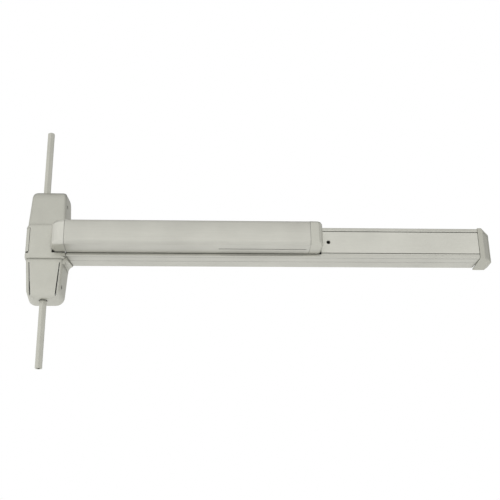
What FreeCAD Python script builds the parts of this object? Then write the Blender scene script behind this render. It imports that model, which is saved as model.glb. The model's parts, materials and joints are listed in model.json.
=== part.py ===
import FreeCAD, Part
import math
import os
import re
import Sketcher

# Touch-bar exit device with a surface mechanism case and two vertical rods.
# Frame: X runs along the bar, Z is up, and the door face is the plane y = 0.
# The device stands out towards -Y, so a "depth" here is the distance out from
# the door: y = -depth. The origin is the middle of the mechanism case.
# All sizes are in millimetres.

DIMENSIONS = (
    ("running", 0.05, "radial clearance of a shaft in its bore"),
    ("gap", 0.4, "clearance beside a moving part"),
    # mechanism case
    ("case_half_height", 101.6, "half of the 8 inch case"),
    ("case_half_width", 35.3, "at the door, beside the bar"),
    ("top_end_half_width", 32.7, "at the door, where the top rounding starts"),
    ("bottom_end_half_width", 31.1, "at the door, where the bottom rounding starts"),
    ("case_draft", 2.6, "how far each flank leans in"),
    ("case_wall", 2.2, "cast wall"),
    ("top_taper_end", 84, "height where the top rounding starts"),
    ("bottom_taper_end", 88, "height where the bottom rounding starts"),
    ("top_corner", 5.5, "corner seen from the front, at the top end"),
    ("bottom_corner", 13.6, "corner seen from the front, at the bottom end"),
    ("panel_depth", 51.0, "front panel beside the band"),
    ("top_end_depth", 44.0, "front panel where the top rounding starts"),
    ("bottom_end_depth", 46.5, "front panel where the bottom rounding starts"),
    ("top_roll", 22.0, "front edge rounding at the top end"),
    ("bottom_roll", 4.5, "front edge rounding at the bottom end"),
    ("flank_round", 6.0, "rounding between front and flank"),
    ("band_top", 29.6, "upper edge of the raised band around the bar"),
    ("band_bottom", 33.5, "lower edge of the raised band, below the middle"),
    ("band_depth", 55.0, "front of the raised band"),
    ("band_draft", 1.4, "how far the band's flanks lean in"),
    ("collar_end", 42.2, "where the bar's rail meets the case"),
    ("collar_lean", 7.5, "how far the collar's end leans back from the door to the front"),
    ("collar_half_height", 29.3, "collar round the rail's end"),
    ("web_drop", 12.7, "concave web under the collar"),
    ("nose_slot_left", 11.9, "left edge of the band's front opening"),
    ("nose_slot_half", 23.4, "half height of the band's front opening"),
    ("rod_hole_radius", 7.3, "hole in each end of the case"),
    ("upper_screw_height", 71, "upper cover screws, above the middle"),
    ("lower_screw_height", 79, "lower cover screws, below the middle"),
    ("flank_screw_depth", 33, "cover screws, out from the door"),
    ("cover_screw_hole", 3.8, "hole round a cover screw's head"),
    ("window_half", 22, "filler window in the left flank"),
    ("window_edge", -26.8, "front edge of the window, left of the middle"),
    # chassis
    ("plate", 2.5, "chassis plate"),
    ("chassis_half_width", 26, "base of the chassis"),
    ("chassis_half_height", 90, "base of the chassis"),
    ("ear_half", 8, "half height of the chassis ears"),
    ("flange_half", 20, "half width of the chassis end flanges"),
    ("flange_reach", 10.6, "chassis end flanges, out past the rod axis"),
    ("fix_spacing_x", 38, "case fixing holes, across"),
    ("fix_spacing_z", 150, "case fixing holes, up and down"),
    ("fix_radius", 2.75, "clearance hole for a 5 mm screw"),
    # rods
    ("rod_depth", 28, "rod axis, out from the door"),
    ("upper_rod_x", -7, "upper rod axis"),
    ("lower_rod_x", -1, "lower rod axis"),
    ("rod_flats", 11.1, "seven-sixteenths hexagon, across its flats"),
    ("rod_end", 220, "cut end of each rod"),
    ("hex_start", 84.4, "inner end of the hexagon, above or below the middle"),
    ("stub_start", 63, "inner end of the threaded stub"),
    ("stub_radius", 4, "threaded stub"),
    ("tap_radius", 3.4, "tapped end hole"),
    ("tap_length", 16, "tapped end hole"),
    ("connector_back", 20, "back face of the rod connectors"),
    ("tongue_plate", 6, "thickness of a connector's tongue"),
    ("nut_start", 78.1, "inner face of the lock nuts"),
    ("nut_height", 6.1, "lock nuts"),
    ("bush_start", 86.6, "inner face of the rod bushes"),
    ("bush_radius", 9, "rod bush inside its chassis flange"),
    ("bush_bore", 7, "rod bush, round the hexagon"),
    # vertical levers
    ("lever_x", 17, "lever shafts"),
    ("lever_height", 34.5, "lever shafts, above and below the middle"),
    ("yoke_pin_height", 17, "yoke pins, above and below the middle"),
    ("lever_reach", 26, "from a lever shaft to its rod pin, sideways"),
    ("lever_depth", 27, "back face of the levers"),
    ("lever_plate", 3, "lever thickness"),
    ("shaft_radius", 4, "lever shafts"),
    ("rod_pin_radius", 3, "connector pins"),
    ("yoke_pin_radius", 2.5, "yoke pins"),
    ("yoke_depth", 31, "back face of the drive yoke"),
    ("yoke_plate", 3, "drive yoke"),
    # bar
    ("rail_half_height", 27.2, "rail at the door"),
    ("rail_front_half", 27.8, "rail at its front"),
    ("rail_depth", 51.5, "front of the rail"),
    ("rail_wall", 2.1, "rail side wall"),
    ("rail_base", 2.4, "rail back wall"),
    ("lip_half", 23.0, "half of the opening between the lips"),
    ("lip_back", 47.8, "back face of the lips"),
    ("rail_end", 758, "far end of the rail"),
    ("line_half", 20.5, "fine groove along the cover plate"),
    ("line_depth_one", 26.4, "inner fine line along the rail's flanks"),
    ("line_depth_two", 45.5, "outer fine line along the rail's flanks"),
    ("pad_travel", 19, "push pad stroke"),
    ("pad_half", 22.5, "half height of the push pad"),
    ("pad_depth", 96.8, "front of the push pad at rest"),
    ("pad_crown", 1.9, "how far the pad's front bulges"),
    ("pad_round", 7.5, "rounding between the pad's front and its skirts"),
    ("pad_wall", 2.0, "pad wall"),
    ("pad_back", 42, "back edge of the pad's skirts at rest"),
    ("pad_left", 36.9, "push pad's left end"),
    ("pad_right", 453.2, "push pad's right end"),
    ("pad_cap_end", 475.8, "pad end cap's right end"),
    ("groove_left", 298, "finger groove under the pad, left end"),
    ("groove_right", 447, "finger groove under the pad, right end"),
    ("groove_depth", 72.6, "finger groove under the pad, out from the door"),
    ("nose_left", 12.4, "left tip of the pad's nose"),
    ("nose_half", 22.6, "half height of the nose"),
    # cranks, which turn the pad's stroke into the link's
    ("near_crank_x", 95, "near crank axle"),
    ("far_crank_x", 365, "far crank axle"),
    ("crank_depth", 21, "crank axles, out from the door"),
    ("crank_reach", 28.4, "from the axle to the pad pin, along the bar"),
    ("link_rise", 16, "from the axle to the link pin, out from the door"),
    ("crank_plate", 2.5, "crank side plate"),
    ("crank_inner", 3.6, "inner face of each crank side plate"),
    ("pin_radius", 3, "pins and axles of the cranks"),
    ("arm_radius", 6.2, "round ends of the crank's arms"),
    ("leg_inner", 6.7, "inner face of bracket legs"),
    ("leg_outer", 8.9, "outer face of bracket legs"),
    ("link_half", 3, "half thickness of the drive link"),
    ("baseplate_front", 4.5, "front face of the mechanism plate"),
    ("spring_depth", 14, "return spring's axis, out from the door"),
    ("spring_height", 12.5, "return spring's axis, above the middle"),
    # dogging
    ("dog_x", 490, "dogging screw"),
    ("dog_pin_x", 466.3, "the link's dogging pin at rest"),
    ("key_radius", 3.4, "key hole in the cover plate"),
    # end cap
    ("cap_front_end", 766.8, "right edge of the end cap's front strip"),
    ("cap_chamfer_start", 779, "where its base corners are cut"),
    ("cap_end", 785.7, "far end of the device"),
    ("cap_shoulder", 25, "depth where its end wall starts to lean in"),
    ("cap_tip_half", 26.3, "half height of its end wall"),
    ("cap_half", 31.2, "half height at the door"),
    ("cap_front_half", 28.6, "half height at the front"),
    ("cap_depth", 52.5, "front of the end cap"),
    ("cap_wall", 2.4, "cast wall"),
    ("cap_screw_height", 13, "screws in the cap's end wall, off the middle"),
    ("cap_screw_depth", 12, "screws of the end cap, out from the door"),
    ("bracket_x", 768, "fixing holes of the end bracket"),
    ("bracket_spacing", 22, "fixing holes of the end bracket"),
)

doc = FreeCAD.newDocument("exit_device")
sheet = doc.addObject("Spreadsheet::Sheet", "dims")
for row, (alias, number, note) in enumerate(DIMENSIONS, start=1):
    sheet.set(f"A{row}", alias)
    sheet.set(f"B{row}", str(number))
    sheet.set(f"C{row}", note)
    sheet.setAlias(f"B{row}", alias)
doc.recompute()

NAMES = {alias for alias, number, note in DIMENSIONS}
PARTS = []


def bound(expression):
    """The expression with each dimension's name pointed at the sheet."""
    def swap(match):
        word = match.group(0)
        return "dims." + word if word in NAMES else word
    return re.sub(r"[a-z_]+", swap, str(expression))


def value(expression):
    """The number that an expression of the sheet's names comes to."""
    return float(sheet.evalExpression(bound(expression)))


def keep(thing, label):
    """Mark an object as a finished sub-part."""
    thing.Label = label
    PARTS.append(thing)
    return thing


# ---------------------------------------------------------------- sketches
# A loop is ("poly", corners), ("circle", x, y, radius) or
# ("slot", x1, y1, x2, y2, radius). On the XY plane its second coordinate is a
# depth, and on the YZ plane its first one is.

PLANES = {"XY": "XY_Plane", "XZ": "XZ_Plane", "YZ": "YZ_Plane"}


def local(plane, first, second):
    """Expressions of a point in the sketch's own axes."""
    if plane == "XY":
        return str(first), f"-({second})"
    if plane == "YZ":
        return f"-({first})", str(second)
    return str(first), str(second)


def pin_point(sketch, geometry, point, across, up):
    """Hold one point of a sketch at two expressions."""
    for kind, expression in (("DistanceX", across), ("DistanceY", up)):
        rule = Sketcher.Constraint(kind, -1, 1, geometry, point, value(expression))
        index = sketch.addConstraint(rule)
        sketch.setExpression(f"Constraints[{index}]", bound(expression))


def draw_poly(sketch, plane, corners):
    """A closed outline of straight lines."""
    spots = [local(plane, a, b) for a, b in corners]
    points = [FreeCAD.Vector(value(a), value(b), 0) for a, b in spots]
    count = len(points)
    for i in range(count):
        sketch.addGeometry(Part.LineSegment(points[i], points[(i + 1) % count]), False)
    for i in range(count):
        sketch.addConstraint(Sketcher.Constraint("Coincident", i, 2, (i + 1) % count, 1))
    for i in range(count):
        pin_point(sketch, i, 1, *spots[i])


def draw_circle(sketch, plane, across, up, radius):
    """One circle."""
    spot = local(plane, across, up)
    centre = FreeCAD.Vector(value(spot[0]), value(spot[1]), 0)
    sketch.addGeometry(Part.Circle(centre, FreeCAD.Vector(0, 0, 1), value(radius)), False)
    pin_point(sketch, 0, 3, *spot)
    index = sketch.addConstraint(Sketcher.Constraint("Radius", 0, value(radius)))
    sketch.setExpression(f"Constraints[{index}]", bound(radius))


def draw_slot(sketch, plane, x1, y1, x2, y2, radius):
    """A slot with round ends about two centres."""
    ends = [local(plane, x1, y1), local(plane, x2, y2)]
    centres = [FreeCAD.Vector(value(a), value(b), 0) for a, b in ends]
    size = value(radius)
    run = centres[1] - centres[0]
    turn = math.atan2(run.y, run.x)
    side = FreeCAD.Vector(-math.sin(turn), math.cos(turn), 0) * size
    up = FreeCAD.Vector(0, 0, 1)
    quarter = math.pi / 2
    first = Part.Circle(centres[0], up, size)
    second = Part.Circle(centres[1], up, size)
    sketch.addGeometry(Part.ArcOfCircle(first, turn + quarter, turn + 3 * quarter), False)
    sketch.addGeometry(Part.LineSegment(centres[0] - side, centres[1] - side), False)
    sketch.addGeometry(Part.ArcOfCircle(second, turn - quarter, turn + quarter), False)
    sketch.addGeometry(Part.LineSegment(centres[1] + side, centres[0] + side), False)
    for i in range(4):
        sketch.addConstraint(Sketcher.Constraint("Tangent", i, 2, (i + 1) % 4, 1))
    sketch.addConstraint(Sketcher.Constraint("Equal", 0, 2))
    pin_point(sketch, 0, 3, *ends[0])
    pin_point(sketch, 2, 3, *ends[1])
    index = sketch.addConstraint(Sketcher.Constraint("Radius", 0, size))
    sketch.setExpression(f"Constraints[{index}]", bound(radius))


DRAW = {"poly": draw_poly, "circle": draw_circle, "slot": draw_slot}


def add_sketch(body, plane, loop, start):
    """A sketch on one of the body's own planes, set off by start."""
    sketch = body.newObject("Sketcher::SketchObject", "outline")
    support = [f for f in body.Origin.OriginFeatures if f.Role == PLANES[plane]][0]
    sketch.AttachmentSupport = [(support, "")]
    sketch.MapMode = "FlatFace"
    offset = FreeCAD.Vector(0, 0, value(start))
    sketch.AttachmentOffset = FreeCAD.Placement(offset, FreeCAD.Rotation())
    sketch.setExpression("AttachmentOffset.Base.z", bound(start))
    DRAW[loop[0]](sketch, plane, *loop[1:])
    return sketch


def add_step(body, kind, plane, loop, start, length):
    """One pad or cut, from start by length along +Z, +X or out from the door."""
    sketch = add_sketch(body, plane, loop, start)
    before = body.Shape.Volume if kind == "cut" else 0
    feature = body.newObject("PartDesign::Pad" if kind == "pad" else "PartDesign::Pocket", kind)
    feature.Profile = sketch
    feature.Length = value(length)
    feature.setExpression("Length", bound(length))
    feature.Reversed = kind == "cut"
    doc.recompute()
    if kind == "cut" and not body.Shape.Volume < before - 0.01:
        raise RuntimeError(f"{body.Label}: a cut took nothing away")


def add_body(label, steps):
    """A body made of pads and cuts, each a row of add_step's arguments."""
    body = doc.addObject("PartDesign::Body", label)
    body.AllowCompound = True
    for step in steps:
        add_step(body, *step)
    return keep(body, label)


def round_edges(body, wanted, radius):
    """Fillet the edges of a body's tip that a test picks."""
    tip = body.Tip
    names = [f"Edge{i}" for i, edge in enumerate(tip.Shape.Edges, start=1) if wanted(edge)]
    if not names:
        raise RuntimeError(f"{body.Label}: no edge to round")
    fillet = body.newObject("PartDesign::Fillet", "rounding")
    fillet.Base = (tip, names)
    fillet.Radius = value(radius)
    fillet.setExpression("Radius", bound(radius))
    doc.recompute()


def rect(left, low, right, high):
    """A rectangle's loop."""
    return ("poly", [(left, low), (right, low), (right, high), (left, high)])


def hexagon(across, up, flats):
    """A hexagon's loop, with two corners along the second axis."""
    corners = []
    for dx, dy in ((0, 2), (1, 1), (1, -1), (0, -2), (-1, -1), (-1, 1)):
        x = f"({across})+({flats})/2*{dx}"
        y = f"({up})+({flats})/2*{dy}/sqrt(3)"
        corners.append((x, y))
    return ("poly", corners)


def solid(label, shape):
    """A sub-part whose shape is worked out in code from the sheet."""
    feature = doc.addObject("Part::Feature", label)
    feature.Shape = shape
    return keep(feature, label)


def vec(x, depth, z):
    """A point from its place along the bar, its depth and its height."""
    return FreeCAD.Vector(x, -depth, z)


def block(x1, x2, d1, d2, z1, z2):
    """A plain cuboid."""
    return Part.makeBox(x2 - x1, d2 - d1, z2 - z1, FreeCAD.Vector(x1, -d2, z1))


# ---------------------------------------------------------- mechanism case
def case_section(z, half_base, half_front, depth, rounding):
    """One level section of the case, as a closed wire."""
    diagonal = rounding * (1 - math.sqrt(0.5))
    flat = half_front - rounding
    shoulder = depth - rounding
    points = [
        vec(-half_base, 0, z),
        vec(-half_front, shoulder, z),
        vec(-half_front + diagonal, depth - diagonal, z),
        vec(-flat, depth, z),
        vec(flat, depth, z),
        vec(half_front - diagonal, depth - diagonal, z),
        vec(half_front, shoulder, z),
        vec(half_base, 0, z),
    ]
    edges = [
        Part.LineSegment(points[0], points[1]).toShape(),
        Part.Arc(points[1], points[2], points[3]).toShape(),
        Part.LineSegment(points[3], points[4]).toShape(),
        Part.Arc(points[4], points[5], points[6]).toShape(),
        Part.LineSegment(points[6], points[7]).toShape(),
        Part.LineSegment(points[7], points[0]).toShape(),
    ]
    return Part.Wire(edges)


def case_half(end_name, skin):
    """The top or bottom half of the case's body, shrunk by a skin."""
    sign = 1 if end_name == "top" else -1
    middle = value("case_half_width") - skin
    end = value(f"{end_name}_end_half_width") - skin
    start = value(f"{end_name}_taper_end")
    corner = value(f"{end_name}_corner") - skin
    roll = value(f"{end_name}_roll") - skin
    deep = value("panel_depth") - skin
    shallow = value(f"{end_name}_end_depth") - skin
    draft = value("case_draft")
    rounding = value("flank_round") - skin
    overlap = 4
    band = value("band_top") - overlap
    top = value("case_half_height") - skin
    lean = (deep - shallow) / (start - band)
    narrowing = (middle - end) / (start - band)
    straight = [
        case_section(sign * band, middle, middle - draft, deep, rounding),
        case_section(sign * start, end, end - draft, shallow, rounding),
    ]
    rounded = [straight[1]]
    turns = 6
    for step in range(1, turns + 1):
        angle = math.radians(90 * step / turns)
        z = start + (top - start) * math.sin(angle)
        drop = 1 - math.cos(angle)
        half = end - narrowing * (z - start) - corner * drop
        depth = shallow - lean * (z - start) - roll * drop
        rounded.append(case_section(sign * z, half, half - draft, depth, rounding))
    body = Part.makeLoft(straight, True, True)
    return body.fuse(Part.makeLoft(rounded, True, False))


def prism(wire, shift):
    """A closed wire pushed along a vector."""
    return Part.Face(wire).extrude(shift)


def case_band(skin, low, high):
    """A stretch of the raised band across the case, shrunk by a skin."""
    half = value("case_half_width") - skin
    front = half - value("band_draft")
    section = case_section(low, half, front, value("band_depth") - skin,
                           value("flank_round") - skin)
    return prism(section, FreeCAD.Vector(0, 0, high - low))


def soft_band(skin):
    """The whole band. Its upper corners and its lower edge are rounded off."""
    high = value("band_top") - skin
    low = -value("band_bottom") + skin
    half = value("case_half_width") - skin
    depth = value("band_depth") - skin
    # Each step is (distance in from the end, trim of the flanks, drop of the front).
    bottom = ((0, 1.0, 2.6), (0.8, 0.5, 1.1), (2.2, 0, 0))
    top = ((7.2, 0, 0), (4.6, 0.8, 0), (2.2, 2.2, 0.4), (0.7, 3.3, 1.2), (0, 4.0, 2.2))
    levels = [(low + inset, trim, drop) for inset, trim, drop in bottom]
    levels += [(high - inset, trim, drop) for inset, trim, drop in top]
    sections = []
    for z, trim, drop in levels:
        base = half - trim
        front = base - value("band_draft")
        sections.append(case_section(z, base, front, depth - drop, value("flank_round") - skin))
    return Part.makeLoft(sections, True, True)


def collar_web(sign):
    """The concave web between the case's flank and the collar."""
    left = 24.0
    right = value("collar_end")
    edge = value("collar_half_height")
    high = edge - 3
    flank = value("case_half_width") - 0.6
    low = edge + value("web_drop")
    corners = [
        vec(left, 0, sign * high),
        vec(right, 0, sign * high),
        vec(right, 0, sign * edge),
        vec(flank, 0, sign * low),
        vec(left, 0, sign * low),
    ]
    bow = vec(flank + 0.26 * (right - flank), 0, sign * (edge + 0.32 * (low - edge)))
    edges = [
        Part.LineSegment(corners[0], corners[1]).toShape(),
        Part.LineSegment(corners[1], corners[2]).toShape(),
        Part.Arc(corners[2], bow, corners[3]).toShape(),
        Part.LineSegment(corners[3], corners[4]).toShape(),
        Part.LineSegment(corners[4], corners[0]).toShape(),
    ]
    return prism(Part.Wire(edges), vec(0, value("panel_depth") - 3, 0))


def collar_mitre():
    """What is cut off the collar, so that its end leans back from the door."""
    right = value("collar_end")
    front = value("band_depth")
    reach = value("collar_half_height") + value("web_drop") + 1
    plan = ((right, 0), (right + 1, 0), (right + 1, front), (right - value("collar_lean"), front))
    corners = [vec(x, depth, -reach) for x, depth in (*plan, plan[0])]
    return prism(Part.makePolygon(corners), FreeCAD.Vector(0, 0, 2 * reach))


def slot_cutter(sign_x):
    """One of the two dark slots that run down the lower panel."""
    half_width = 1.05
    x1 = 25.8 * sign_x
    x2 = 21.4 * sign_x
    z1 = -40.0
    z2 = -97.5
    first_depth = 38
    last_depth = 60
    ring = [
        vec(x1 - half_width * 0.7, first_depth, z1),
        vec(x1 + half_width * 0.7, first_depth, z1),
        vec(x2 + half_width, first_depth, z2),
        vec(x2 - half_width, first_depth, z2),
    ]
    wire = Part.makePolygon(ring + ring[:1])
    return prism(wire, vec(0, last_depth - first_depth, 0))


def make_case_cover():
    """Cast cover: two tapering halves, a raised band and the rail's collar."""
    wall = value("case_wall")
    right = value("collar_end")
    depth = value("band_depth")
    collar = value("collar_half_height")
    outer = case_half("top", 0).fuse(case_half("bottom", 0))
    outer = outer.fuse(soft_band(0))
    outer = outer.fuse(block(20, right, 0, depth - 0.6, -collar, collar))
    outer = outer.fuse(collar_web(1)).fuse(collar_web(-1)).cut(collar_mitre())
    inner = case_half("top", wall).fuse(case_half("bottom", wall))
    inner = inner.fuse(soft_band(wall))
    inner = inner.fuse(block(18, right + 5, -1, value("rail_depth") - 0.2, -25, 25))
    slot_left = value("nose_slot_left")
    slot = value("nose_slot_half")
    front = block(slot_left, right + 5, 30, depth + 5, -slot, slot)
    cover = outer.cut(inner).cut(front)
    rod_depth = value("rod_depth")
    radius = value("rod_hole_radius")
    for x, z in ((value("upper_rod_x"), 90), (value("lower_rod_x"), -110)):
        cover = cover.cut(Part.makeCylinder(radius, 20, vec(x, rod_depth, z)))
    for sign_x in (-1, 1):
        cover = cover.cut(slot_cutter(sign_x))
    screw_depth = value("flank_screw_depth")
    for z in (-value("lower_screw_height"), value("upper_screw_height")):
        for direction in (-1, 1):
            axis = FreeCAD.Vector(direction, 0, 0)
            start = vec(24 * direction, screw_depth, z)
            cover = cover.cut(Part.makeCylinder(value("cover_screw_hole"), 16, start, axis))
    window = value("window_half")
    edge = value("window_edge")
    far = value("case_half_width") + 5
    front = depth + 5
    notch = (-far, edge - 0.8, depth - 8.5, front, -window - 2.6, -window + 1)
    cover = cover.cut(block(-far, edge, 6, front, -window, window))
    cover = cover.cut(block(*notch))
    solid("case_cover", cover.removeSplitter())


def make_window_filler():
    """Plate that closes the window in the case's left flank."""
    clear = 0.35
    half = value("window_half") - clear
    edge = value("window_edge") - clear
    front_skin = 0.25
    back_skin = 4.8
    slab = case_band(front_skin, -half, half).cut(case_band(back_skin, -half - 5, half + 5))
    slab = slab.common(block(-40, edge - 0.4, 6 + clear, 60, -half, half))
    # Its ends hook behind the cover's wall, above and below the window.
    ledge = block(-30.3, -28.7, 14, 42, -half - 4, half + 2)
    solid("window_filler", slab.fuse(ledge).removeSplitter())


def make_case_chassis():
    """Folded steel chassis: base, four screw ears and two end flanges."""
    base = rect("-chassis_half_width", "-chassis_half_height",
                "chassis_half_width", "chassis_half_height")
    steps = [("pad", "XZ", base, "0", "plate")]
    for sign in (-1, 1):
        ear_x = "chassis_half_width-plate" if sign > 0 else "-chassis_half_width"
        for middle in ("-lower_screw_height", "upper_screw_height"):
            ear = rect("plate-0.5", f"{middle}-ear_half",
                       "flank_screw_depth+ear_half-1", f"{middle}+ear_half")
            steps.append(("pad", "YZ", ear, ear_x, "plate"))
            hole = ("circle", "flank_screw_depth", middle, "1.9")
            steps.append(("cut", "YZ", hole, ear_x, "plate"))
    for level in (-1, 1):
        low = "chassis_half_height-plate" if level > 0 else "-chassis_half_height"
        flange = rect("-flange_half", "plate-0.5", "flange_half", "rod_depth+flange_reach")
        steps.append(("pad", "XY", flange, low, "plate"))
        rod = "upper_rod_x" if level > 0 else "lower_rod_x"
        steps.append(("cut", "XY", ("circle", rod, "rod_depth", "bush_radius+0.1"), low, "plate"))
    for sign_x in (-1, 1):
        for sign_z in (-1, 1):
            x = f"{sign_x}*fix_spacing_x/2"
            z = f"{sign_z}*fix_spacing_z/2"
            steps.append(("cut", "XZ", ("circle", x, z, "fix_radius"), "0", "plate"))
    steps.append(("cut", "XZ", ("circle", "lever_x", "0", "9+running"), "0", "plate"))
    add_body("case_chassis", steps)


def make_cover_screws():
    """Four socket screws through the cover's flanks into the chassis ears."""
    steps = []
    for sign in (-1, 1):
        for height in ("-lower_screw_height", "upper_screw_height"):
            spot = ("flank_screw_depth", height)
            inner = "chassis_half_width-plate-1" if sign > 0 else "-chassis_half_width-2.6"
            shank = ("circle", *spot, "1.85")
            steps.append(("pad", "YZ", shank, inner, "plate+3.6"))
            outer = "chassis_half_width+0.2" if sign > 0 else "-chassis_half_width-2.8"
            steps.append(("pad", "YZ", ("circle", *spot, "3"), outer, "2.6"))
            socket = "chassis_half_width+1.4" if sign > 0 else "-chassis_half_width-2.8"
            steps.append(("cut", "YZ", hexagon(*spot, "2.8"), socket, "1.4"))
    add_body("cover_screws", steps)


def make_spring_seat():
    """Block on the chassis that both rod springs push against."""
    steps = [
        ("pad", "XZ", rect("-19", "-8", "-4", "8"), "plate", "24.5"),
        ("cut", "XZ", rect("-13.5", "-5", "-9.5", "5"), "15", "12"),
    ]
    add_body("spring_seat", steps)


def make_lever_shaft(label, level):
    """Stepped shaft that a vertical lever turns on."""
    spot = ("lever_x", f"{level}*lever_height")
    steps = [
        ("pad", "XZ", ("circle", *spot, "shaft_radius+2.4"), "plate", "lever_depth-plate-0.4"),
        ("pad", "XZ", ("circle", *spot, "shaft_radius"), "lever_depth-1", "lever_plate+1.7"),
        ("pad", "XZ", ("circle", *spot, "shaft_radius+1.6"),
         "lever_depth+lever_plate+0.4", "0.9"),
    ]
    add_body(label, steps)


HALF_STROKE = "link_rise*pad_travel/2/crank_reach"
LEVER_RISE = "(lever_height-yoke_pin_height)"
ROD_HALF_STROKE = f"lever_reach*({HALF_STROKE})/{LEVER_RISE}"


def make_lever(label, level):
    """Two-armed lever: the yoke swings one arm, the other drives a rod."""
    pivot = ("lever_x", f"{level}*lever_height")
    yoke_pin = (f"lever_x-{HALF_STROKE}", f"{level}*yoke_pin_height")
    rod_pin = ("lever_x-lever_reach", f"{level}*(lever_height+{ROD_HALF_STROKE})")
    steps = [
        ("pad", "XZ", ("slot", *pivot, *yoke_pin, "6.2"), "lever_depth", "lever_plate"),
        ("pad", "XZ", ("slot", *pivot, *rod_pin, "6.2"), "lever_depth", "lever_plate"),
        ("pad", "XZ", ("circle", *pivot, "8.4"), "lever_depth", "lever_plate"),
        ("cut", "XZ", ("circle", *pivot, "shaft_radius+running"), "lever_depth", "lever_plate"),
    ]
    # Each slot runs along its own arm, because a pin that moves in a straight
    # line comes nearer to the shaft at mid stroke.
    for pin, radius in ((yoke_pin, "yoke_pin_radius+0.3"), (rod_pin, "rod_pin_radius+0.3")):
        near = [f"({p})+0.055*(({q})-({p}))" for p, q in zip(pin, pivot)]
        far = [f"({p})-0.02*(({q})-({p}))" for p, q in zip(pin, pivot)]
        steps.append(("cut", "XZ", ("slot", *near, *far, radius), "lever_depth", "lever_plate"))
    add_body(label, steps)


def make_rod_group(prefix, level, rod_x):
    """Hexagon rod, its threaded connector, lock nut, connector pin and bush."""
    pin = ("lever_x-lever_reach", f"{level}*(lever_height+{ROD_HALF_STROKE})")

    def rise(low, length):
        """Start of a stretch that runs upwards or downwards from the middle."""
        return low if level > 0 else f"-({low})-({length})"

    hex_length = "rod_end-hex_start"
    stub_length = "hex_start-stub_start+0.2"
    socket_start = "stub_start-1"
    socket_length = "16"
    bore = ("circle", rod_x, "rod_depth", "stub_radius+running")
    tap = ("circle", rod_x, "rod_depth", "tap_radius")
    tap_start = rise("rod_end-tap_length", "tap_length")
    steps = [
        ("pad", "XY", hexagon(rod_x, "rod_depth", "rod_flats"), rise("hex_start", hex_length),
         hex_length),
        ("pad", "XY", ("circle", rod_x, "rod_depth", "stub_radius"),
         rise("stub_start", stub_length), stub_length),
        ("cut", "XY", tap, tap_start, "tap_length"),
    ]
    add_body(f"{prefix}_rod", steps)

    left = "-15"
    right = f"({rod_x})+8"
    middle = f"{level}*(lever_height+{ROD_HALF_STROKE})"
    tongue = rect(left, f"{middle}-({level})*6.4", right, f"{level}*({socket_start})")
    boss = rect(f"({rod_x})-8", f"{level}*(stub_start-3)", right, f"{level}*(nut_start-0.1)")
    steps = [
        ("pad", "XZ", tongue, "connector_back", "tongue_plate"),
        ("pad", "XZ", boss, "connector_back", "15.5"),
        ("cut", "XY", bore, rise(socket_start, socket_length), socket_length),
        ("cut", "XZ", ("circle", *pin, "rod_pin_radius"), "connector_back", "tongue_plate"),
    ]
    add_body(f"{prefix}_connector", steps)

    steps = [
        ("pad", "XZ", ("circle", *pin, "rod_pin_radius"), "connector_back+0.2", "10.6"),
    ]
    add_body(f"{prefix}_connector_pin", steps)

    nut = (rise("nut_start", "nut_height"), "nut_height")
    steps = [
        ("pad", "XY", hexagon(rod_x, "rod_depth", "12.7"), *nut),
        ("cut", "XY", bore, *nut),
    ]
    add_body(f"{prefix}_lock_nut", steps)

    brim_start = "chassis_half_height+0.1"
    brim = "1.6"
    length = f"{brim_start}+{brim}-bush_start"
    steps = [
        ("pad", "XY", ("circle", rod_x, "rod_depth", "bush_radius"),
         rise("bush_start", "4.6"), "4.6"),
        ("pad", "XY", ("circle", rod_x, "rod_depth", "bush_radius+1.1"),
         rise(brim_start, brim), brim),
        ("cut", "XY", ("circle", rod_x, "rod_depth", "bush_bore"),
         rise("bush_start", length), length),
    ]
    add_body(f"{prefix}_rod_bush", steps)


def coil(centre, direction, radius, wire_radius, length, turns):
    """An open compression spring from centre along a direction."""
    free = length - 2 * wire_radius
    helix = Part.makeHelix(free / turns, free, radius)
    start = FreeCAD.Vector(radius, 0, 0)
    ring = Part.Wire([Part.makeCircle(wire_radius, start, FreeCAD.Vector(0, 1, 0))])
    spring = Part.Wire(helix).makePipeShell([ring], True, True)
    spring.translate(FreeCAD.Vector(0, 0, wire_radius))
    turn = FreeCAD.Rotation(FreeCAD.Vector(0, 0, 1), direction)
    spring.Placement = FreeCAD.Placement(centre, turn).multiply(spring.Placement)
    return spring


def make_rod_spring(label, level):
    """Spring that pushes a rod outwards, between the seat and the connector."""
    pin_height = value(f"lever_height+{ROD_HALF_STROKE}")
    start = 8.2
    length = pin_height - 6.4 - 0.2 - start
    centre = vec(-11.5, 22.6, level * start)
    spring = coil(centre, FreeCAD.Vector(0, 0, level), 3.1, 0.45, length, 6)
    solid(label, spring)


def make_trim_cam():
    """Hub that an outside lever or pull turns from the far side of the door."""
    steps = [
        ("pad", "XZ", ("circle", "lever_x", "0", "9"), "0", "plate+0.5"),
        ("pad", "XZ", ("circle", "lever_x", "0", "11"), "plate+0.4", "9"),
        ("pad", "XZ", ("slot", "lever_x", "0", "lever_x-13", "0", "3.5"), "plate+4.4", "5"),
        ("cut", "XZ", rect("lever_x-3.5", "-3.5", "lever_x+3.5", "3.5"), "0", "plate+9.4"),
    ]
    add_body("trim_cam", steps)


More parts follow.
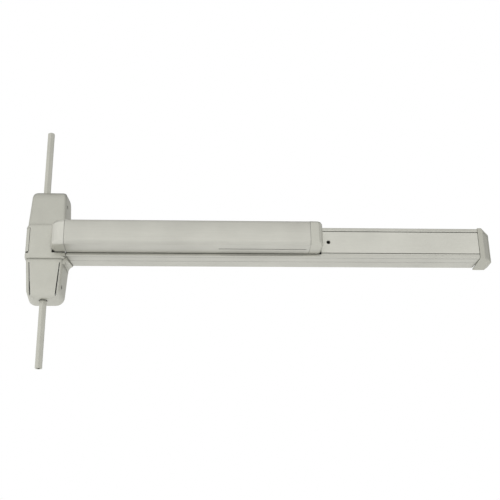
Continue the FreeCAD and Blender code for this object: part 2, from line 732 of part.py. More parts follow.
# ---------------------------------------------------------------- the bar
def make_rail_channel():
    """Extruded rail: a channel whose two lips frame the pad and cover plate."""
    outline = ("poly", [
        ("0", "-rail_half_height"),
        ("0", "rail_half_height"),
        ("rail_depth", "rail_front_half"),
        ("rail_depth", "lip_half"),
        ("lip_back", "lip_half"),
        ("lip_back", "rail_front_half-rail_wall"),
        ("rail_base", "rail_half_height-rail_wall"),
        ("rail_base", "-rail_half_height+rail_wall"),
        ("lip_back", "-rail_front_half+rail_wall"),
        ("lip_back", "-lip_half"),
        ("rail_depth", "-lip_half"),
        ("rail_depth", "-rail_front_half"),
    ])
    start = "collar_end-collar_lean+0.25"
    length = f"rail_end-({start})"
    rail = add_body("rail_channel", [("pad", "YZ", outline, start, length)])
    depth = value("rail_depth")
    half = value("rail_front_half")

    def front_corner(edge):
        box = edge.BoundBox
        return box.XLength > 100 and box.YMin < 0.1 - depth and abs(abs(box.ZMin) - half) < 0.1

    round_edges(rail, front_corner, "1.6")
    for line, floor in (("line_depth_one", "0.7"), ("line_depth_two", "0.47")):
        upper = rect(f"{line}-0.5", f"rail_front_half-{floor}", f"{line}+0.5", "rail_front_half+1")
        lower = rect(f"{line}-0.5", "-rail_front_half-1", f"{line}+0.5",
                     f"-rail_front_half+{floor}")
        add_step(rail, "cut", "YZ", upper, start, length)
        add_step(rail, "cut", "YZ", lower, start, length)
    relief = ("slot", "groove_left+4", "-lip_half-2.5", "groove_right-3", "-lip_half-2.5", "0.55")
    add_step(rail, "cut", "XZ", relief, "rail_depth-0.6", "2")
    mitre = [
        (f"{start}-1", "-1"),
        ("collar_end+0.25", "-1"),
        ("collar_end+0.25", "0"),
        (start, "band_depth"),
        (f"{start}-1", "band_depth"),
    ]
    add_step(rail, "cut", "XY", ("poly", mitre), "-rail_front_half-1", "2*rail_front_half+2")


def make_rail_cover_plate():
    """Cover plate that clips between the lips beyond the push pad."""
    right = [
        ("rail_depth", "0"),
        ("rail_depth", "line_half-0.7"),
        ("rail_depth-1.8", "line_half-0.7"),
        ("rail_depth-1.8", "line_half+0.7"),
        ("rail_depth", "line_half+0.7"),
        ("rail_depth", "lip_half-0.08"),
        ("lip_back-0.3", "lip_half-0.08"),
        ("lip_back-0.3", "lip_half+1.6"),
        ("lip_back-2.6", "lip_half+1.6"),
        ("lip_back-5", "lip_half-0.1"),
        ("lip_back-5", "lip_half-2"),
        ("lip_back-0.6", "lip_half-2"),
        ("lip_back-0.6", "0"),
    ]
    left = [(a, f"-({b})") for a, b in reversed(right[1:-1])]
    start = "pad_cap_end+0.9"
    steps = [
        ("pad", "YZ", ("poly", right[:-1] + left), start, f"rail_end-({start})-0.2"),
        ("cut", "XZ", ("circle", "dog_x", "0", "key_radius"), "lip_back-2", "10"),
    ]
    add_body("rail_cover_plate", steps)


BASEPLATE_SCREWS = ("60", "230", "425")


def make_rail_baseplate():
    """Mechanism plate inside the rail, with ears for the two crank axles."""
    steps = [
        ("pad", "XZ", rect("20", "-14", "512", "14"), "rail_base+0.15",
         "baseplate_front-rail_base-0.15"),
    ]
    for axle in ("near_crank_x", "far_crank_x"):
        for side in ("-leg_outer", "leg_inner"):
            ear = rect(f"{axle}-9", "baseplate_front-0.5", f"{axle}+9", "crank_depth+6")
            steps.append(("pad", "XY", ear, side, "leg_outer-leg_inner"))
        hole = ("circle", axle, "crank_depth", "pin_radius")
        steps.append(("cut", "XY", hole, "-leg_outer", "2*leg_outer"))
    for x in BASEPLATE_SCREWS:
        steps.append(("cut", "XZ", ("circle", x, "0", "2.6"), "rail_base", "4"))
    hub = ("circle", "dog_x", "0", "7")
    steps.append(("cut", "XZ", hub, "rail_base", "4"))
    cam = ("circle", "lever_x", "0", "12")
    steps.append(("cut", "XZ", cam, "rail_base", "4"))
    add_body("rail_baseplate", steps)


def make_baseplate_screws():
    """Three pan screws that hold the mechanism plate to the rail."""
    steps = []
    for x in BASEPLATE_SCREWS:
        steps.append(("pad", "XZ", ("circle", x, "0", "2.5"), "rail_base+0.1", "2.5"))
        steps.append(("pad", "XZ", ("circle", x, "0", "4.4"), "baseplate_front+0.05", "2.2"))
        steps.append(("cut", "XZ", hexagon(x, "0", "2.4"), "baseplate_front+1", "1.3"))
    add_body("baseplate_screws", steps)


def make_crank(label, axle):
    """Bell crank: two side plates on a hub tube."""
    half = "pad_travel/2"
    pivot = (axle, "crank_depth")
    pad_pin = (f"{axle}+crank_reach", f"crank_depth+{half}")
    link_pin = (f"{axle}-{HALF_STROKE}", "crank_depth+link_rise")
    outer = "crank_inner+crank_plate"
    steps = [("pad", "XY", ("circle", *pivot, "arm_radius"), f"-({outer})", f"2*({outer})")]
    for side in (f"-({outer})", "crank_inner"):
        for pin in (pad_pin, link_pin):
            steps.append(("pad", "XY", ("slot", *pivot, *pin, "arm_radius"), side, "crank_plate"))
    full = (f"-({outer})", f"2*({outer})")
    steps.append(("cut", "XY", ("circle", *pivot, "pin_radius+running"), *full))
    for pin in (pad_pin, link_pin):
        near = [f"({p})+0.06*(({q})-({p}))" for p, q in zip(pin, pivot)]
        far = [f"({p})-0.015*(({q})-({p}))" for p, q in zip(pin, pivot)]
        steps.append(("cut", "XY", ("slot", *near, *far, "pin_radius+0.3"), *full))
    add_body(label, steps)


def make_axle(label, axle):
    """Riveted axle of a bell crank."""
    steps = [
        ("pad", "XY", ("circle", axle, "crank_depth", "pin_radius"), "-leg_outer-0.8",
         "2*leg_outer+1.6"),
        ("pad", "XY", ("circle", axle, "crank_depth", "pin_radius+1.6"), "leg_outer+0.05", "1.2"),
        ("pad", "XY", ("circle", axle, "crank_depth", "pin_radius+1.6"),
         "-leg_outer-1.25", "1.2"),
    ]
    add_body(label, steps)


def make_pad_bracket(label, axle):
    """Folded bracket under the pad: two legs that hold a crank's pin."""
    pin = (f"{axle}+crank_reach", "crank_depth+pad_travel/2")
    steps = [
        ("pad", "XY", rect(f"{pin[0]}-11", "86", f"{pin[0]}+11", "89"), "-19.6", "39.2"),
    ]
    for side in ("-leg_outer", "leg_inner"):
        leg = rect(f"{pin[0]}-7", f"{pin[1]}-4.5", f"{pin[0]}+7", "86.5")
        steps.append(("pad", "XY", leg, side, "leg_outer-leg_inner"))
    for side in ("-19.6", "18"):
        tab = rect(f"{pin[0]}-11", "78", f"{pin[0]}+11", "86.5")
        steps.append(("pad", "XY", tab, side, "1.6"))
    steps.append(("cut", "XY", ("circle", *pin, "pin_radius"), "-leg_outer", "2*leg_outer"))
    add_body(label, steps)


def make_pad_pins():
    """Four short pins, one in each bracket leg, that stop beside the link."""
    steps = []
    reach = "leg_outer+1-link_half-gap"
    for axle in ("near_crank_x", "far_crank_x"):
        pin = (f"{axle}+crank_reach", "crank_depth+pad_travel/2")
        for low in ("-leg_outer-1", "link_half+gap"):
            steps.append(("pad", "XY", ("circle", *pin, "pin_radius"), low, reach))
        for low in ("-leg_outer-1.45", "leg_outer+0.05"):
            steps.append(("pad", "XY", ("circle", *pin, "pin_radius+1.4"), low, "1.4"))
    add_body("pad_bracket_pins", steps)


def pad_outline():
    """Section of the push pad: straight skirts and a crowned front."""
    front = []
    for step in range(-4, 5):
        share = step / 4
        front.append((f"pad_depth-pad_crown*{share ** 2}", f"pad_half*{share}"))
    return ("poly", [("pad_back", "-pad_half")] + front + [("pad_back", "pad_half")])


def pad_hollow():
    """Section of the space inside the push pad."""
    half = "(pad_half-pad_wall)"
    front = "(pad_depth-pad_wall)"
    right = [
        (f"{front}-pad_crown*0.3", f"{half}-6"),
        (f"{front}-pad_crown-0.6", f"{half}-2.4"),
        (f"{front}-pad_crown-3", half),
        ("pad_back-1", half),
    ]
    left = [(depth, f"-({height})") for depth, height in reversed(right)]
    return ("poly", left + right)


def make_push_pad():
    """Hollow extruded push pad, with a finger groove under its right end."""
    length = "pad_right-pad_left"
    pad = add_body("push_pad", [("pad", "YZ", pad_outline(), "pad_left", length)])
    half = value("pad_half")

    def shoulder(edge):
        box = edge.BoundBox
        on_skirt = abs(abs(box.ZMin) - half) < 0.01 and box.XLength > 100
        return on_skirt and box.YMin < -value("pad_back") - 1

    round_edges(pad, shoulder, "pad_round")
    add_step(pad, "cut", "YZ", pad_hollow(), "pad_left", length)
    groove = ("slot", "groove_left", "groove_depth", "groove_right", "groove_depth", "1")
    add_step(pad, "cut", "XY", groove, "-pad_half-1", "2.1")


def make_pad_nose():
    """Sloping nose that carries the pad's left end into the case's band."""
    # Each pair is (distance from the tip, depth) along the nose's slope.
    slope = ((0, 70), (0.9, 78), (3.2, 84.6), (7.4, 90), (13, 93.4))
    joint = "pad_left-0.5"
    back = "56"
    outside = [("nose_left", back)]
    outside += [(f"nose_left+{along}", str(depth)) for along, depth in slope]
    outside += [(joint, "pad_depth-0.9"), (joint, back)]
    nose = add_body("pad_nose", [("pad", "XY", ("poly", outside), "-nose_half", "2*nose_half")])
    half = value("nose_half")

    def side_edge(edge):
        box = edge.BoundBox
        on_side = box.ZLength < 0.01 and abs(abs(box.ZMin) - half) < 0.01
        return on_side and box.XMin < value(joint) - 1 and box.YMin < -value(back) - 1

    round_edges(nose, side_edge, "pad_round")
    inside = [
        ("nose_left+3", "50"),
        ("nose_left+3.4", "76"),
        ("nose_left+7.6", "84.6"),
        ("nose_left+14", "89.6"),
        (joint, "pad_depth-4"),
        (joint, "50"),
    ]
    add_step(nose, "cut", "XY", ("poly", inside), "-nose_half+2.4", "2*nose_half-4.8")


def make_pad_end_cap():
    """Cap that closes the pad's right end with a rounded cheek."""
    half_height = "pad_half-0.2"
    start = "pad_right+0.4"
    back = "pad_back+8"
    outline = ("poly", [
        (start, back),
        (start, "pad_depth-0.7"),
        ("pad_cap_end-8", "pad_depth-1.2"),
        ("pad_cap_end-3.4", "pad_depth-4"),
        ("pad_cap_end-1", "pad_depth-9"),
        ("pad_cap_end", "pad_depth-16"),
        ("pad_cap_end", back),
    ])
    steps = [("pad", "XY", outline, f"-({half_height})", f"2*({half_height})")]
    cap = add_body("pad_end_cap", steps)
    half = value(half_height)

    def cheek(edge):
        box = edge.BoundBox
        on_side = box.ZLength < 0.01 and abs(abs(box.ZMin) - half) < 0.01
        return on_side and box.XMax > value(start) + 1 and box.YMin < -value(back) - 1

    round_edges(cap, cheek, "pad_round-1.5")
    inside = ("poly", [
        (start, f"{back}-1"),
        (start, "pad_depth-3.4"),
        ("pad_cap_end-9", "pad_depth-4"),
        ("pad_cap_end-4.8", "pad_depth-8"),
        ("pad_cap_end-2.6", "pad_depth-16"),
        ("pad_cap_end-2.6", f"{back}-1"),
    ])
    add_step(cap, "cut", "XY", inside, f"-({half_height})+2.4", f"2*({half_height})-4.8")
    # The link's tail passes through this notch when the pad is pressed.
    notch = rect(f"{back}-1", "-5", f"{back}+5.6", "5")
    add_step(cap, "cut", "YZ", notch, "pad_cap_end-4", "6")


RIVETS = ("49", "61")


def make_drive_link():
    """Long bar that carries the cranks' stroke into the case."""
    outline = ("poly", [
        ("43", "34.2"),
        ("43", "43"),
        ("440", "43"),
        ("447", "36"),
        ("dog_pin_x+3.7", "36"),
        ("dog_pin_x+3.7", "31"),
        ("75", "31"),
        ("75", "34.2"),
    ])
    steps = [("pad", "XY", outline, "-link_half", "2*link_half")]
    for axle in ("near_crank_x", "far_crank_x"):
        hole = ("circle", f"{axle}-{HALF_STROKE}", "crank_depth+link_rise", "pin_radius")
        steps.append(("cut", "XY", hole, "-link_half", "2*link_half"))
    for x in RIVETS:
        steps.append(("cut", "XZ", ("circle", x, "0", "2"), "34", "6"))
    steps.append(("cut", "XZ", ("circle", "dog_pin_x", "0", "2.5"), "30.5", "6"))
    add_body("drive_link", steps)


def make_drive_yoke():
    """Plate in the case that pulls both vertical levers together."""
    middle = f"lever_x-{HALF_STROKE}"
    plate = ("yoke_depth", "yoke_plate")
    steps = [
        ("pad", "XZ", rect(f"{middle}-7", "-24", f"{middle}+7", "24"), *plate),
        ("pad", "XZ", rect(f"{middle}+6", "-8", "68", "8"), *plate),
    ]
    for level in (-1, 1):
        hole = ("circle", middle, f"{level}*yoke_pin_height", "yoke_pin_radius")
        steps.append(("cut", "XZ", hole, *plate))
    for x in RIVETS:
        steps.append(("cut", "XZ", ("circle", x, "0", "2"), *plate))
    add_body("drive_yoke", steps)


def make_link_pins():
    """Pins that the link and yoke carry: cranks, levers and rivets."""
    middle = f"lever_x-{HALF_STROKE}"
    steps = []
    for axle in ("near_crank_x", "far_crank_x"):
        spot = (f"{axle}-{HALF_STROKE}", "crank_depth+link_rise")
        steps.append(("pad", "XY", ("circle", *spot, "pin_radius"), "-6.5", "13"))
    add_body("crank_link_pins", steps)
    steps = []
    for level in (-1, 1):
        spot = (middle, f"{level}*yoke_pin_height")
        steps.append(("pad", "XZ", ("circle", *spot, "yoke_pin_radius"), "26.4", "7.4"))
    add_body("yoke_pins", steps)
    steps = []
    for x in RIVETS:
        steps.append(("pad", "XZ", ("circle", x, "0", "2"), "30.2", "8"))
        steps.append(("pad", "XZ", ("circle", x, "0", "3.4"), "29.8", "1.15"))
    add_body("yoke_rivets", steps)
    steps = [("pad", "XZ", ("circle", "dog_pin_x", "0", "2.5"), "25.6", "9")]
    add_body("dogging_pin", steps)


def make_return_spring_set():
    """Main spring beside the link, with its lug, bracket and guide rod."""
    axis = ("spring_depth", "spring_height")
    steps = [
        ("pad", "YZ", rect("8", "link_half+0.05", "40", "18"), "418", "3"),
        ("cut", "YZ", ("circle", *axis, "2.9"), "418", "3"),
    ]
    add_body("spring_lug", steps)
    steps = [
        ("pad", "YZ", rect("baseplate_front", "5", "21", "19"), "455", "3"),
        ("pad", "XZ", rect("446", "5", "455.5", "13.9"), "baseplate_front", "1"),
        ("cut", "YZ", ("circle", *axis, "2.5"), "455", "3"),
    ]
    add_body("spring_bracket", steps)
    steps = [("pad", "YZ", ("circle", *axis, "2.45"), "404", "54")]
    add_body("spring_guide_rod", steps)
    centre = vec(421.2, value("spring_depth"), value("spring_height"))
    spring = coil(centre, FreeCAD.Vector(1, 0, 0), 3.9, 0.6, 33.6, 9)
    solid("return_spring", spring)


def make_dampers():
    """Rubber blocks on the rail floor that soften the pad's bottom stop."""
    steps = []
    for x in ("150", "330"):
        for z in ("-23.6", "19.6"):
            steps.append(("pad", "XY", rect(x, "rail_base+0.05", f"{x}+26", "22.5"), z, "4"))
    add_body("pad_dampers", steps)


def make_dogging():
    """Key-operated screw and hook that hold the pad pressed in."""
    spot = ("dog_x", "0")
    steps = [
        ("pad", "XZ", ("circle", *spot, "4"), "rail_base+0.3", "39"),
        ("pad", "XZ", ("circle", *spot, "6.5"), "lip_back-7.2", "6.2"),
        ("cut", "XZ", hexagon(*spot, "4"), "lip_back-6", "5"),
        ("cut", "YZ", rect("25.5", "2.6", "30.5", "5"), "dog_x-5", "10"),
    ]
    add_body("dogging_screw", steps)
    solid("dogging_hook", hook_shape())
    steps = [
        ("pad", "XZ", ("circle", *spot, "6.95"), "rail_base+0.1", "22"),
        ("cut", "XZ", ("circle", *spot, "4+running"), "rail_base+0.1", "22"),
    ]
    add_body("dogging_bush", steps)


def hook_shape():
    """Hook parked upwards: a hub, one arm and an arc that ends in a tip."""
    x = value("dog_x")
    back = 26.4
    thick = 3.2
    out = FreeCAD.Vector(0, -1, 0)

    def disc(radius):
        return Part.makeCylinder(radius, thick, vec(x, back, 0), out)

    def ray(degrees, reach):
        turn = math.radians(degrees)
        return vec(x + reach * math.cos(turn), back, reach * math.sin(turn))

    ring = disc(20.6).cut(disc(16.6))
    tip = 97
    root = 28
    wedge = [vec(x, back, 0), ray(root, 40), ray((root + tip) / 2, 50), ray(tip, 40)]
    sector = prism(Part.makePolygon(wedge + wedge[:1]), vec(0, thick, 0))
    arc = ring.common(sector)
    arm = Part.makeBox(19, thick, 6, FreeCAD.Vector(0, -thick, -3))
    arm.rotate(FreeCAD.Vector(0, 0, 0), FreeCAD.Vector(0, 1, 0), -(root + 8))
    arm.translate(vec(x, back, 0))
    bore = disc(value("shaft_radius+running"))
    return disc(7.6).fuse(arm).fuse(arc).cut(bore).removeSplitter()


# ------------------------------------------------------------- the far end
def cap_outline(skin, level):
    """Corners of the end cap at the door (0), at its shoulder (1) or in front (2)."""
    start = "rail_end+0.15" if skin == "0" else "rail_end-1"
    half, turn, end = (
        ("cap_half", "cap_chamfer_start", "cap_end"),
        ("(cap_half+cap_front_half)/2", "cap_chamfer_start-1", "cap_end"),
        ("cap_front_half", "cap_front_end-1.6", "cap_front_end"),
    )[level]
    high = f"{half}-{skin}"
    tip = f"cap_tip_half-{skin}"
    return ("poly", [
        (start, f"-({high})"),
        (f"{turn}-{skin}*0.5", f"-({high})"),
        (f"{end}-{skin}", f"-({tip})"),
        (f"{end}-{skin}", tip),
        (f"{turn}-{skin}*0.5", high),
        (start, high),
    ])


def cap_loft(body, kind, skin):
    """A loft through the end cap's three outlines, shrunk by a skin."""
    depths = ("0", "cap_shoulder", f"cap_depth-{skin}")
    outlines = [add_sketch(body, "XZ", cap_outline(skin, i), depths[i]) for i in range(3)]
    loft = body.newObject(kind, "hull")
    loft.Profile = outlines[0]
    loft.Sections = outlines[1:]
    loft.Ruled = True
    doc.recompute()


def make_end_cap():
    """Hollow end cap: a front strip, a leaning end face and an upright end wall."""
    body = doc.addObject("PartDesign::Body", "end_cap")
    cap_loft(body, "PartDesign::AdditiveLoft", "0")
    whole = body.Shape.Volume

    def rim(edge):
        box = edge.BoundBox
        on_front = box.YMax < 0.1 - value("cap_depth")
        return on_front and box.XMin > value("rail_end") + 0.2

    round_edges(body, rim, "1")
    cap_loft(body, "PartDesign::SubtractiveLoft", "cap_wall")
    if not body.Shape.Volume < whole / 2:
        raise RuntimeError("end_cap: the hollow is missing")
    # A shallow recess fills most of the leaning face.
    run = "(cap_end-cap_front_end)"
    fall = "(cap_depth-cap_shoulder)"
    recess = []
    for share, out in ((0.14, 2), (0.88, 2), (0.88, -0.6), (0.14, -0.6)):
        x = f"cap_front_end+{share}*{run}+{out}*{fall}/sqrt({run}^2+{fall}^2)"
        depth = f"cap_depth-{share}*{fall}+{out}*{run}/sqrt({run}^2+{fall}^2)"
        recess.append((x, depth))
    add_step(body, "cut", "XY", ("poly", recess), "-cap_tip_half+4", "2*cap_tip_half-8")
    for level in (-1, 1):
        spot = ("cap_screw_depth", f"{level}*cap_screw_height")
        add_step(body, "cut", "YZ", ("circle", *spot, "2.2"), "cap_end-cap_wall-1", "5")
        add_step(body, "cut", "YZ", ("circle", *spot, "3.9"), "cap_end-1.4", "3")
    keep(body, "end_cap")


def make_end_bracket():
    """Bracket under the end cap: fixed to the door, its tongue holds the rail."""
    ear = "cap_end-cap_wall-0.8"
    steps = [
        ("pad", "XZ", rect("rail_end+0.4", "-22", ear, "22"), "0", "5.4"),
        ("pad", "XZ", rect("722", "-17", "rail_end+1", "17"), "rail_base+0.1", "3"),
        ("pad", "YZ", rect("0", "-20", "19", "20"), f"{ear}-3", "3"),
    ]
    for level in (-1, 1):
        tapped = ("circle", "cap_screw_depth", f"{level}*cap_screw_height", "1.95")
        steps.append(("cut", "YZ", tapped, f"{ear}-3", "3"))
        hole = ("circle", "bracket_x", f"{level}*bracket_spacing/2", "fix_radius")
        steps.append(("cut", "XZ", hole, "0", "5.4"))
    add_body("end_bracket", steps)


def make_end_cap_screws():
    """Two screws through the cap's end wall into the bracket."""
    steps = []
    for level in (-1, 1):
        spot = ("cap_screw_depth", f"{level}*cap_screw_height")
        steps.append(("pad", "YZ", ("circle", *spot, "1.9"), "cap_end-cap_wall-4.4", "5.6"))
        steps.append(("pad", "YZ", ("circle", *spot, "3.6"), "cap_end-1.35", "1.4"))
        steps.append(("cut", "YZ", hexagon(*spot, "2.4"), "cap_end-0.75", "0.8"))
    add_body("end_cap_screws", steps)


def check_and_write():
    """Stop on any failed object, then write each sub-part."""
    for thing in doc.Objects:
        if "Invalid" in thing.State or "Error" in thing.State:
            raise RuntimeError(f"{thing.Label} failed: {thing.State}")
    os.makedirs("parts", exist_ok=True)
    for thing in PARTS:
        shape = thing.Shape
        if shape.isNull() or not shape.isValid() or not shape.Solids:
            raise RuntimeError(f"{thing.Label} has no valid solid")
        shape.exportStep(f"parts/{thing.Label}.step")
        box = shape.BoundBox
        print(f"{thing.Label:20s} solids {len(shape.Solids)} volume {shape.Volume:10.0f} "
              f"x {box.XMin:7.1f} {box.XMax:7.1f} d {-box.YMax:6.1f} {-box.YMin:6.1f} "
              f"z {box.ZMin:7.1f} {box.ZMax:7.1f}")


make_case_cover()
make_window_filler()
make_case_chassis()
make_cover_screws()
make_spring_seat()
make_lever_shaft("upper_lever_shaft", 1)
make_lever_shaft("lower_lever_shaft", -1)
make_lever("upper_lever", 1)
make_lever("lower_lever", -1)
make_rod_group("upper", 1, "upper_rod_x")
make_rod_group("lower", -1, "lower_rod_x")
make_rod_spring("upper_rod_spring", 1)
make_rod_spring("lower_rod_spring", -1)
make_trim_cam()
make_rail_channel()
make_rail_cover_plate()
make_rail_baseplate()
make_baseplate_screws()
make_crank("near_crank", "near_crank_x")
make_crank("far_crank", "far_crank_x")
make_axle("near_crank_axle", "near_crank_x")
make_axle("far_crank_axle", "far_crank_x")
make_pad_bracket("near_pad_bracket", "near_crank_x")
make_pad_bracket("far_pad_bracket", "far_crank_x")
make_pad_pins()
make_push_pad()
make_pad_nose()
make_pad_end_cap()
make_drive_link()
make_drive_yoke()
make_link_pins()
make_return_spring_set()
make_dampers()
make_dogging()
make_end_cap()
make_end_bracket()
make_end_cap_screws()
check_and_write()
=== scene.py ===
import json
import math

import bpy
from mathutils import Matrix, Vector

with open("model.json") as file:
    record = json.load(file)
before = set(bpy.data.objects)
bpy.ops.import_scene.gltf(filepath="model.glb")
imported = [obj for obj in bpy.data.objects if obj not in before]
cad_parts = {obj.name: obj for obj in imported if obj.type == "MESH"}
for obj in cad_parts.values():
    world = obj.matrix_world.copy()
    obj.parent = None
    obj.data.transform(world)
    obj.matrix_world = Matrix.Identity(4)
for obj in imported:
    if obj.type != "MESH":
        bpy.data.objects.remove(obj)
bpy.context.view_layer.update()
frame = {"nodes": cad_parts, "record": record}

# ------------------------------------------------------------------ the look
# Linear colours of the satin nickel finish, of the steel and plastic inside and of the floor.
SATIN = (0.550, 0.547, 0.497)
SATIN_WARM = (0.560, 0.558, 0.502)
SATIN_DULL = (0.490, 0.487, 0.432)
SATIN_PAD = (0.558, 0.554, 0.505)
# Paler copy of the satin for the pad's nose: painted light, so that the nose reads evenly lit.
SATIN_NOSE_LIT = (0.640, 0.636, 0.582)
# Paler copy of the satin for the strip over the rail: painted light.
SATIN_COVER_LIT = (0.628, 0.624, 0.570)
ZINC = (0.520, 0.530, 0.540)
STEEL = (0.330, 0.330, 0.335)
BRIGHT_STEEL = (0.560, 0.560, 0.560)
WIRE = (0.230, 0.230, 0.235)
SCREW = (0.120, 0.118, 0.110)
ACETAL = (0.720, 0.700, 0.620)
RUBBER = (0.018, 0.018, 0.019)
FLOOR = (0.830, 0.830, 0.825)

# Noise frequencies, in waves per metre, and the part of the noise's range that is used.
FINE_GRAIN = 2600.0
BROAD_GRAIN = 700.0
METAL_CLOUD = 14.0
METAL_PITS = 900.0
PLASTIC_CLOUD = 40.0
FLOOR_CLOUD = 3.0
NOISE_LOW = 0.3
NOISE_HIGH = 0.7

# Metal: how far its roughness wanders, how its edges wear and how dark its grain's valleys are.
METALLIC = 0.85
SMOOTHER = 0.05
ROUGHER = 0.06
EDGE_RADIUS = 0.0006
EDGE_GAIN = 7.0
EDGE_SAMPLES = 4
WORN_TONE = 1.16
WORN_SHARE = 0.6
WORN_SMOOTHING = 0.08
GRAIN_SHARE = 0.42
BROAD_RELIEF = 0.6
METAL_RELIEF = 0.0001

# Plastic and rubber.
PLASTIC_DARK = 0.86
PLASTIC_SPREAD = 0.07
PLASTIC_RELIEF = 0.0002

# Painted seam shade: how far a surface looks for neighbours, and how open a corner has to be to
# stay unshaded.
SEAM_REACH = 0.006
SEAM_SAMPLES = 8
OPEN_CORNER = 0.72
WIDE_CORNER = 0.92
DEEP_SEAM = 0.25
# How dark the painted shade in seams and inner corners gets.
SEAM_SHADE_TONE = 0.22

# Sockets of the Mix node when it mixes colours.
MIX_AMOUNT = 0
MIX_COLOURS = (6, 7)
MIX_RESULT = 2


def link(tree, source, target):
    """Join two sockets."""
    tree.links.new(source, target)


def math_node(tree, operation, first, second=None):
    """A Math node. Each input is a socket or a number."""
    node = tree.nodes.new("ShaderNodeMath")
    node.operation = operation
    for index, item in enumerate((first, second)):
        if item is None:
            continue
        if isinstance(item, (int, float)):
            node.inputs[index].default_value = item
        else:
            link(tree, item, node.inputs[index])
    return node.outputs[0]


def noise(tree, vector, scale=1.0, detail=3.0, rough=0.5):
    """A noise texture on a vector socket."""
    node = tree.nodes.new("ShaderNodeTexNoise")
    node.inputs["Scale"].default_value = scale
    node.inputs["Detail"].default_value = detail
    node.inputs["Roughness"].default_value = rough
    link(tree, vector, node.inputs["Vector"])
    return node.outputs["Fac"]


def stretched(tree, scale):
    """Object coordinates scaled by axis, so that a grain runs along one of them."""
    coordinates = tree.nodes.new("ShaderNodeTexCoord")
    mapping = tree.nodes.new("ShaderNodeMapping")
    mapping.inputs["Scale"].default_value = scale
    link(tree, coordinates.outputs["Object"], mapping.inputs["Vector"])
    return mapping.outputs["Vector"]


def spread(tree, value, low, high):
    """The useful part of a noise value, mapped onto low to high."""
    node = tree.nodes.new("ShaderNodeMapRange")
    node.inputs["From Min"].default_value = NOISE_LOW
    node.inputs["From Max"].default_value = NOISE_HIGH
    node.inputs["To Min"].default_value = low
    node.inputs["To Max"].default_value = high
    link(tree, value, node.inputs["Value"])
    return node.outputs["Result"]


def blend_colour(tree, amount, first, second):
    """A colour between two, by a socket. Each colour is a socket or three numbers."""
    node = tree.nodes.new("ShaderNodeMix")
    node.data_type = "RGBA"
    link(tree, amount, node.inputs[MIX_AMOUNT])
    for index, item in zip(MIX_COLOURS, (first, second)):
        if isinstance(item, tuple):
            node.inputs[index].default_value = (*item, 1.0)
        else:
            link(tree, item, node.inputs[index])
    return node.outputs[MIX_RESULT]


def shaded(colour, factor):
    """A colour made darker or paler, with no channel over 1."""
    return tuple(min(1.0, channel * factor) for channel in colour)


def edge_mask(tree):
    """High where the surface turns an edge, with the normal that is rounded over the edge."""
    bevel = tree.nodes.new("ShaderNodeBevel")
    bevel.samples = EDGE_SAMPLES
    bevel.inputs["Radius"].default_value = EDGE_RADIUS
    geometry = tree.nodes.new("ShaderNodeNewGeometry")
    dot = tree.nodes.new("ShaderNodeVectorMath")
    dot.operation = "DOT_PRODUCT"
    link(tree, bevel.outputs["Normal"], dot.inputs[0])
    link(tree, geometry.outputs["Normal"], dot.inputs[1])
    turn = math_node(tree, "SUBTRACT", 1.0, dot.outputs["Value"])
    strong = math_node(tree, "MULTIPLY", turn, EDGE_GAIN)
    return math_node(tree, "MINIMUM", strong, 1.0), bevel.outputs["Normal"]


def seam_shade_mask(tree, open_corner):
    """High in seams, grooves and inner corners, where shade falls: the mask for painted shade.
    """
    occlusion = tree.nodes.new("ShaderNodeAmbientOcclusion")
    occlusion.samples = SEAM_SAMPLES
    occlusion.inputs["Distance"].default_value = SEAM_REACH
    mask = tree.nodes.new("ShaderNodeMapRange")
    mask.inputs["From Min"].default_value = open_corner
    mask.inputs["From Max"].default_value = DEEP_SEAM
    link(tree, occlusion.outputs["AO"], mask.inputs["Value"])
    return mask.outputs["Result"]


def bumped(tree, strength, distance, height, normal=None):
    """A normal with fine relief on it."""
    relief = tree.nodes.new("ShaderNodeBump")
    relief.inputs["Strength"].default_value = strength
    relief.inputs["Distance"].default_value = distance
    link(tree, height, relief.inputs["Height"])
    if normal is not None:
        link(tree, normal, relief.inputs["Normal"])
    return relief.outputs["Normal"]


def principled(name):
    """A new material, its node tree and the one Principled shader on its output."""
    material = bpy.data.materials.new(name)
    material.use_nodes = True
    tree = material.node_tree
    tree.nodes.clear()
    out = tree.nodes.new("ShaderNodeOutputMaterial")
    shader = tree.nodes.new("ShaderNodeBsdfPrincipled")
    link(tree, shader.outputs["BSDF"], out.inputs["Surface"])
    return material, tree, shader


